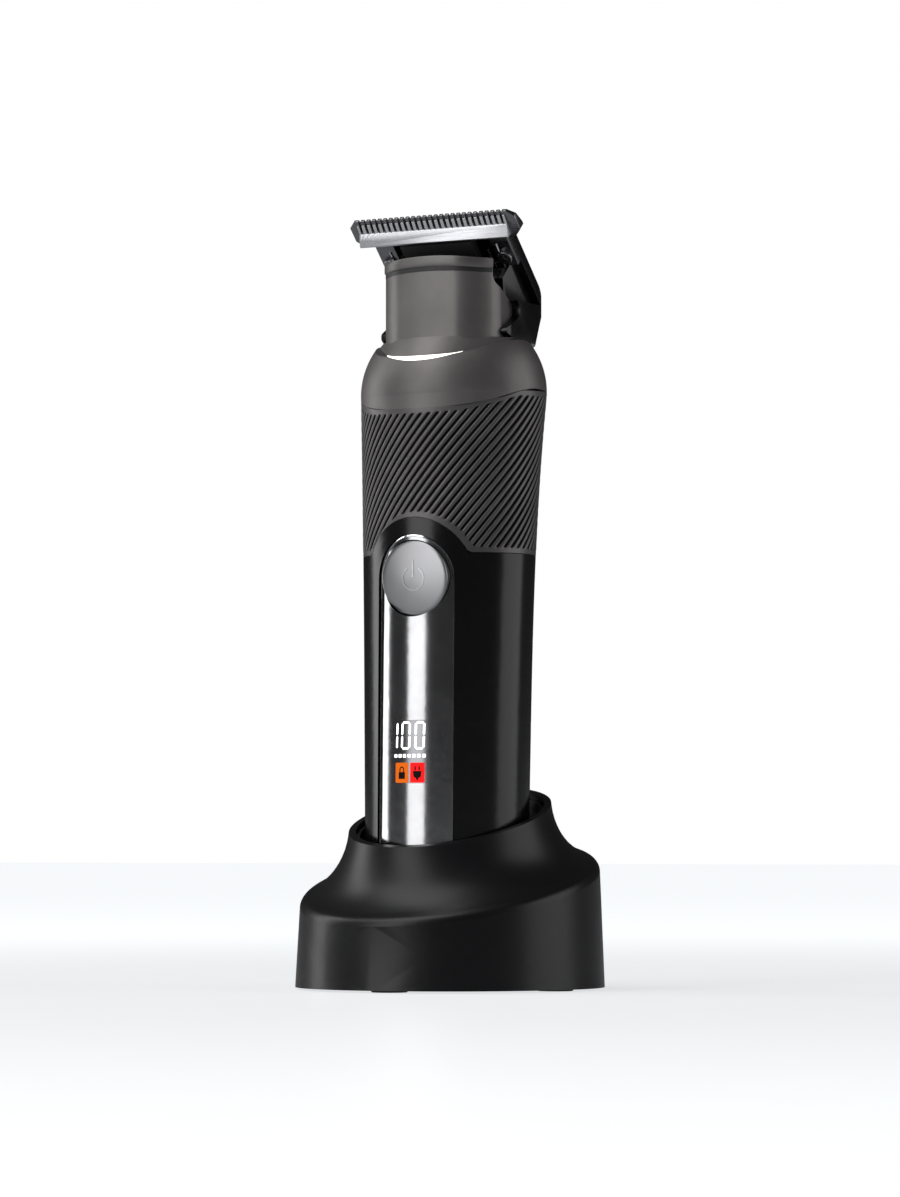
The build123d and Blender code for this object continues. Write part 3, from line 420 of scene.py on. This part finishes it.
def make_grip():
    near = (0.0, 0.12, 0.7, BORDER - 0.1, BORDER + 0.1, BORDER + 0.3)
    inner = 16
    columns = []
    for rib in range(RIBS):
        for place, height in RIB_SHAPE:
            turn = (rib + place) / RIBS
            low, high = grip_edges(turn)
            heights = [low + d for d in near]
            span = high - low - 2 * near[-1]
            heights += [low + near[-1] + span * (i + 1) / (inner + 1) for i in range(inner)]
            heights += [high - d for d in reversed(near)]
            ring = []
            for z in heights:
                edge = min(z - low, high - z)
                fade = min(1.0, max(0.0, (edge - near[3]) / (near[5] - near[3])))
                out = RIB_DEPTH * height * fade - (0.15 if edge < 0.05 else 0.0)
                ring.append(grip_point(turn, z, out))
            ring.append(grip_point(turn, high, -GRIP_WALL))
            ring.append(grip_point(turn, low, -GRIP_WALL))
            columns.append(ring)
    grip = skin("grip_ribs", columns, ends_meet=True)
    dress(grip, "grip_rubber", "handle", "grip_rubber", "grip_sleeve")
    # Painted shade: the faces at the bottom of each groove, away from the grip's edges, get the near-black
    # finish.
    grip.data.materials.append(FINISHES["grip_groove_shade"])
    rows, shape = len(columns[0]), len(RIB_SHAPE)
    plain = (3, rows - 7)
    for face in grip.data.polygons:
        column, row = divmod(face.index, rows)
        if column % shape in (0, 1, shape - 2, shape - 1) and plain[0] <= row <= plain[1]:
            face.material_index = 1


# --- Button and display -----------------------------------------------------
BUTTON_TILT = radians(4.0)
BUTTON_RADIUS = 8.3
BUTTON_DOME = 0.5


def button_frame():
    """Turns a disc lying flat, face up, into the button's place."""
    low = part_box("power_button")[0]
    middle = Vector((0, low[1] + 0.6 * MM, BUTTON_Z * MM))
    return Matrix.Translation(middle) @ Matrix.Rotation(pi / 2 + BUTTON_TILT, 4, "X")


def dome(radius):
    return BUTTON_DOME * (1 - (radius / BUTTON_RADIUS) ** 2)


def place(piece, where):
    piece.data.transform(where)
    piece.data.update()


def make_button():
    rims = [(BUTTON_RADIUS, -1.8), (BUTTON_RADIUS, -0.28), (BUTTON_RADIUS - 0.08, -0.1),
            (BUTTON_RADIUS - 0.3, 0.0)]
    rims += [(r, dome(r)) for r in (7.6, 7.0, 6.0, 5.0, 4.0, 3.0, 2.0, 1.0, 0.3)]
    steps = 96
    rings = [[(r * sin(2 * pi * i / steps), r * cos(2 * pi * i / steps), z) for i in range(steps)]
             for r, z in rims]
    disc = skin("button_disc", rings)
    place(disc, button_frame())
    dress(disc, "spun_metal", "button", "spun_metal", "power_button")
    ring = []
    for i in range(41):
        a = radians(32 + 296 * i / 40)
        ring.append([(r * sin(a), r * cos(a), dome(r) + up) for r, up in
                     ((2.38, -0.1), (2.44, 0.09), (2.76, 0.09), (2.82, -0.1))])
    mark = skin("power_ring", ring)
    place(mark, button_frame())
    dress(mark, "etched_mark", "button", "spun_metal")
    bar = [[(x, y, dome(abs(y)) + up) for x, up in ((-0.22, -0.1), (-0.16, 0.09), (0.16, 0.09), (0.22, -0.1))]
           for y in (0.3, 1.2, 2.2, 3.2, 4.0)]
    line = skin("power_bar", bar)
    place(line, button_frame())
    dress(line, "etched_mark", "button", "spun_metal")


def plate(name, outline, finish_name, proud, thick=0.12):
    """A thin flat shape laid on the strip; outline is in x and z."""
    deselect()
    bpy.ops.mesh.primitive_circle_add(vertices=len(outline), radius=1, fill_type="NGON")
    piece = bpy.context.active_object
    piece.name = name
    for vertex, (x, z) in zip(piece.data.vertices, outline):
        vertex.co = (x * MM, 0, z * MM)
    bpy.ops.object.mode_set(mode="EDIT")
    low, high = min(x for x, _ in outline), max(x for x, _ in outline)
    slices = int((high - low) / 0.4)
    for cut in range(1, slices):
        bpy.ops.mesh.select_all(action="SELECT")
        across = low + (high - low) * cut / slices
        bpy.ops.mesh.bisect(plane_co=(across * MM, 0, 0), plane_no=(1, 0, 0))
    bpy.ops.mesh.select_all(action="SELECT")
    bpy.ops.mesh.extrude_region_move(TRANSFORM_OT_translate={"value": (0, thick * MM, 0)})
    bpy.ops.mesh.select_all(action="SELECT")
    bpy.ops.mesh.normals_make_consistent(inside=False)
    bpy.ops.object.mode_set(mode="OBJECT")
    for vertex in piece.data.vertices:
        x, y, z = vertex.co / MM
        vertex.co = Vector((x, y + on_strip(x, z, proud)[1], z)) * MM
    return dress(piece, finish_name, "handle", "display_dark")


DIGIT_HIGH = 6.2
DIGIT_WIDE = 2.45
DIGIT_LINE = 0.50
DIGIT_BASE = 52.75
DIGIT_GAP = 0.09
DIGIT_LEAN = 0.03
ICON_WIDE, ICON_HIGH = 3.5, 4.4
BOW_OUT, BOW_IN = 0.62, 0.36
SEGMENTS = {"a": (0, 2, 1, 2), "b": (1, 1, 1, 2), "c": (1, 0, 1, 1), "d": (0, 0, 1, 0), "e": (0, 0, 0, 1),
            "f": (0, 1, 0, 2)}


def segment(name, middle, key):
    """One bar of a digit, pointed at both ends and leaning a little."""
    x0, z0, _, z1 = SEGMENTS[key]
    step = (DIGIT_HIGH - DIGIT_LINE) / 2
    half = DIGIT_LINE / 2
    wide = DIGIT_WIDE - DIGIT_LINE
    if z0 == z1:
        low, high = -wide / 2 + DIGIT_GAP, wide / 2 - DIGIT_GAP
        level = z0 * step
        shape = [(low, level), (low + half, level + half), (high - half, level + half), (high, level),
                 (high - half, level - half), (low + half, level - half)]
    else:
        across = (x0 - 0.5) * wide
        low, high = z0 * step + DIGIT_GAP, z1 * step - DIGIT_GAP
        shape = [(across, low), (across - half, low + half), (across - half, high - half), (across, high),
                 (across + half, high - half), (across + half, low + half)]
    outline = [(middle + x + DIGIT_LEAN * z, DIGIT_BASE + half + z) for x, z in shape]
    plate(name, outline, "digit_white", 0.03)


def rounded(middle_x, middle_z, wide, high, corner):
    outline = []
    for turn, sx, sz in ((0, 1, 1), (90, -1, 1), (180, -1, -1), (270, 1, -1)):
        for step in range(4):
            a = radians(turn + 30 * step)
            outline.append((middle_x + sx * (wide / 2 - corner) + corner * cos(a),
                            middle_z + sz * (high / 2 - corner) + corner * sin(a)))
    return outline


def half_ring(middle_x, middle_z, radius):
    return [(middle_x + radius * cos(radians(180 * i / 12)), middle_z + radius * sin(radians(180 * i / 12)))
            for i in range(13)]


def make_display():
    smooth(plate("display_window", rounded(-0.35, 52.3, 9.3, 13.9, 0.6), "window_smoke", 0.01))
    for middle, keys in ((-4.3, "bc"), (-1.35, "abcdef"), (2.1, "abcdef")):
        for key in keys:
            segment(f"digit_{'left' if middle < -3 else 'mid' if middle < 0 else 'right'}_{key}",
                    middle if keys != "bc" else middle - 0.4, key)
    for index in range(7):
        plate(f"level_{index}", rounded(-4.0 + 1.2 * index, 51.4, 0.8, 0.75, 0.12), "digit_white", 0.03)
    left, right, row = -2.3, 1.65, 47.7
    plate("icon_lock", rounded(left, row, ICON_WIDE, ICON_HIGH, 0.3), "icon_orange", 0.02)
    plate("icon_plug", rounded(right, row, ICON_WIDE, ICON_HIGH, 0.3), "icon_red", 0.02)
    plate("lock_body", rounded(left, row - 0.6, 1.7, 1.5, 0.15), "icon_black", 0.04)
    shackle = [(left + BOW_OUT, row + 0.1)] + half_ring(left, row + 0.75, BOW_OUT)
    shackle += [(left - BOW_OUT, row + 0.1), (left - BOW_IN, row + 0.1)]
    shackle += half_ring(left, row + 0.75, BOW_IN)[::-1] + [(left + BOW_IN, row + 0.1)]
    plate("lock_bow", shackle, "icon_black", 0.04)
    plate("plug_body", [(right - 1.05, row + 0.35), (right + 1.05, row + 0.35), (right + 0.85, row - 0.9),
                        (right + 0.3, row - 1.2), (right + 0.15, row - 1.7), (right - 0.15, row - 1.7),
                        (right - 0.3, row - 1.2), (right - 0.85, row - 0.9)], "icon_black", 0.04)
    for side in (-1, 1):
        plate(f"plug_pin_{'left' if side < 0 else 'right'}",
              rounded(right + side * 0.5, row + 0.95, 0.32, 0.9, 0.08), "icon_black", 0.04)


def make_strip_edge():
    """The thin bright bevel round the strip."""
    reach = 9.45
    low = 14.2
    path = [(-reach, low + (BUTTON_Z - low) * i / 24, -1, 0) for i in range(24)]
    for i in range(33):
        a = radians(-90 + 180 * i / 32)
        path.append((reach * sin(a), BUTTON_Z + reach * cos(a), sin(a), cos(a)))
    path += [(reach, BUTTON_Z - (BUTTON_Z - low) * (i + 1) / 24, 1, 0) for i in range(24)]
    rings = []
    for x, z, nx, nz in path:
        ring = []
        for out, proud in ((-0.30, -0.2), (-0.30, 0.02), (-0.20, 0.16), (0.12, 0.0), (0.12, -0.3)):
            ring.append(on_strip(x + nx * out, z + nz * out, proud))
        rings.append(ring)
    edge = skin("strip_edge", rings)
    dress(edge, "chrome_edge", "handle", "strip_mirror")


# --- Head -------------------------------------------------------------------
COVER_HALF = 14.5
COVER_FRONT = 10.7
COVER_CORNER = 8.0
COVER_TOP = 162.1
LIP_START = 27                 # degrees round the corner, where the cover's top edge ends


COVER_CROWN = 2.4              # how far the corners fall back from the middle
COVER_ARCH = 1.2               # how far the top edge falls to the corners
ARCH_LOW, ARCH_HIGH = 150.0, 162.0


def crown(x, y, z):
    """Rounds the cover's front and arches its top edge; all in millimetres."""
    side = min(1.0, abs(x) / COVER_HALF) ** 2
    fore = min(1.0, max(0.0, -y / COVER_FRONT))
    top = min(1.0, max(0.0, (z - ARCH_LOW) / (ARCH_HIGH - ARCH_LOW)))
    return (x, y + COVER_CROWN * side * fore, z - COVER_ARCH * side * fore * top)


def crown_piece(piece):
    """Cuts the cover into upright slices and rounds its front."""
    work_on(piece)
    bpy.ops.object.mode_set(mode="EDIT")
    for across in range(-13, 14):
        bpy.ops.mesh.select_all(action="SELECT")
        bpy.ops.mesh.bisect(plane_co=(across * MM, 0, 0), plane_no=(1, 0, 0))
    bpy.ops.object.mode_set(mode="OBJECT")
    for vertex in piece.data.vertices:
        vertex.co = Vector(crown(*(vertex.co / MM))) * MM
    return piece


def cover_path(out):
    """The cover's outline seen from above, from its right side round the front."""
    corner = COVER_CORNER + out
    points = []
    for i in range(13):
        a = radians(LIP_START + (90 - LIP_START) * i / 12)
        points.append((COVER_HALF - COVER_CORNER + corner * cos(a),
                       -COVER_FRONT + COVER_CORNER - corner * sin(a)))
    points += [(x, -COVER_FRONT - out) for x in (4.3, 2.1, 0.0)]
    return points + [(-x, y) for x, y in reversed(points[:-1])]


def hoop(name, low, high, out, finish_name, slot_name):
    """A rounded band round the cover."""
    mid = (low + high) / 2
    shape = [(-0.4, low), (out * 0.5, low), (out, low + 0.35), (out, mid), (out, high - 0.45),
             (out * 0.4, high), (-0.4, high)]
    paths = [cover_path(o) for o, _ in shape]
    rings = [[crown(*path[i], z) for path, (_, z) in zip(paths, shape)] for i in range(len(paths[0]))]
    dress(skin(name, rings), finish_name, "head", slot_name)


BLADE_FRONT, BLADE_TIP = 9.5, 171.0
RAIL = ((11.0, -10.2), (11.15, -13.0), (11.35, -18.0), (11.7, -21.4), (12.5, -20.6), (13.3, -18.4),
        (13.5, -13.0), (13.6, -8.9))
RAIL_BACK = -2.4


def blade_point(x, along, out):
    """A place on the blades' plane: across, towards the teeth, and out of its front."""
    lean = sqrt(0.5)
    return (x, -BLADE_FRONT - lean * along + lean * -out, BLADE_TIP + lean * along - lean * out)


def make_rails():
    """Bright pointed trims on the stem, one each side."""
    for side, name in ((1, "right"), (-1, "left")):
        rings = []
        for i, (x, s) in enumerate(RAIL):
            before, after = RAIL[max(0, i - 1)], RAIL[min(len(RAIL) - 1, i + 1)]
            dx, ds = after[0] - before[0], after[1] - before[1]
            size = sqrt(dx * dx + ds * ds)
            nx, ns = -ds / size * 0.22, dx / size * 0.22
            rings.append([blade_point(side * (x + nx), s + ns, RAIL_BACK),
                          blade_point(side * (x + nx), s + ns, 0.12),
                          blade_point(side * x, s, 0.22),
                          blade_point(side * (x - nx), s - ns, 0.12),
                          blade_point(side * (x - nx), s - ns, RAIL_BACK)])
        dress(skin(f"stem_trim_{name}", rings), "chrome_edge", "head", "blade_bright")


def make_head():
    make_rails()
    cover = crown_piece(from_node("neck_cover", "head_cover", 0.35))
    dress(cover, "grey_satin", "head", "grey_satin", "head_cover")
    hoop("cover_lip", 159.8, COVER_TOP, 0.35, "grey_satin", "grey_satin")
    # Painted shade under the lip: a thin near-black band, barely proud of the cover, where the groove under
    # the lip lies in shade.
    hoop("cover_groove_shade", 158.7, 159.78, 0.06, "liner_black", "liner_black")
    dress(from_node("holder", "blade_holder", 0.45), "gloss_black", "head", "gloss_black", "blade_holder")
    dress(from_node("comb_blade", "fixed_blade", 0.10, 2), "blade_dark", "head", "blade_dark", "fixed_blade")
    dress(from_node("cutter_blade", "moving_blade", 0.06, 2), "blade_bright", "cutter", "blade_bright",
          "moving_blade")


# --- Floor, backdrop and lights ---------------------------------------------
FLOOR_WHITE = (0.30, 0.305, 0.31)


def lay_floor():
    bpy.ops.object.select_all(action="DESELECT")
    bpy.ops.mesh.primitive_plane_add(size=12.0, location=(0, 0, 0))
    floor = bpy.context.active_object
    floor.name = "floor"
    floor.data.name = "floor"
    material = finish("floor_white", FLOOR_WHITE, 0.35, grain=60.0, depth=0.0, shade=0.01, uneven=0.03)
    shader = material.node_tree.nodes["Principled BSDF"]
    shader.inputs["Emission Color"].default_value = (0.93, 0.95, 0.97, 1.0)
    shader.inputs["Specular IOR Level"].default_value = 0.1
    tree = material.node_tree
    place = tree.nodes["Texture Coordinate"]
    # Painted shade on the floor round the stand: the floor glows less near the stand and more far off, up to
    # nearly full white where it meets the backdrop.
    reach = node(tree, "ShaderNodeVectorMath", (-700, -700), operation="LENGTH")
    tree.links.new(place.outputs["Object"], reach.inputs[0])
    fade = node(tree, "ShaderNodeMapRange", (-450, -700), interpolation_type="SMOOTHSTEP")
    fade.inputs["From Min"].default_value = 0.10
    fade.inputs["From Max"].default_value = 0.75
    fade.inputs["To Min"].default_value = 0.74
    fade.inputs["To Max"].default_value = 0.98
    tree.links.new(reach.outputs["Value"], fade.inputs["Value"])
    path = node(tree, "ShaderNodeLightPath", (-700, -950))
    share = node(tree, "ShaderNodeMapRange", (-450, -950))
    share.inputs["To Min"].default_value = 0.35
    tree.links.new(path.outputs["Is Camera Ray"], share.inputs["Value"])
    glow = node(tree, "ShaderNodeMath", (-250, -800), operation="MULTIPLY")
    tree.links.new(fade.outputs["Result"], glow.inputs[0])
    tree.links.new(share.outputs["Result"], glow.inputs[1])
    tree.links.new(glow.outputs["Value"], shader.inputs["Emission Strength"])
    floor.data.materials.append(material)


def softbox(name, turn, distance, height, size, power, aim_height=0.08, tint=(1, 1, 1)):
    """An area light; turn is measured from the front, towards the right."""
    data = bpy.data.lights.new(name, "AREA")
    data.shape = "RECTANGLE"
    data.size, data.size_y = size
    data.energy = power
    data.color = tint
    light = bpy.data.objects.new(name, data)
    bpy.context.scene.collection.objects.link(light)
    spot = Vector((distance * sin(radians(turn)), -distance * cos(radians(turn)), height))
    light.location = spot
    light.rotation_euler = (Vector((0, 0, aim_height)) - spot).to_track_quat("-Z", "Y").to_euler()


def light_room():
    world = bpy.data.worlds.new("room")
    bpy.context.scene.world = world
    world.use_nodes = True
    tree = world.node_tree
    tree.nodes.clear()
    seen = node(tree, "ShaderNodeBackground", (0, 100))
    seen.inputs["Color"].default_value = (1.0, 1.0, 1.0, 1.0)
    seen.inputs["Strength"].default_value = 1.0
    lit = node(tree, "ShaderNodeBackground", (0, -100))
    lit.inputs["Color"].default_value = (1.0, 1.0, 1.0, 1.0)
    lit.inputs["Strength"].default_value = 0.03
    path = node(tree, "ShaderNodeLightPath", (-200, 300))
    mix = node(tree, "ShaderNodeMixShader", (250, 0))
    out = node(tree, "ShaderNodeOutputWorld", (450, 0))
    tree.links.new(path.outputs["Is Camera Ray"], mix.inputs["Fac"])
    tree.links.new(lit.outputs["Background"], mix.inputs[1])
    tree.links.new(seen.outputs["Background"], mix.inputs[2])
    tree.links.new(mix.outputs["Shader"], out.inputs["Surface"])
    softbox("left_box", -83.5, 0.9, 0.30, (0.30, 1.0), 3.3)
    softbox("front_box", -21, 1.0, 0.35, (0.52, 1.1), 5.0)
    softbox("right_box", 110, 0.9, 0.30, (0.75, 1.0), 3.9)
    softbox("top_box", -40, 0.5, 1.1, (0.8, 0.8), 5.5)


place_camera()
make_grip()
make_button()
make_display()
make_strip_edge()
make_head()
lay_floor()
light_room()
bpy.context.scene.view_settings.view_transform = "Standard"
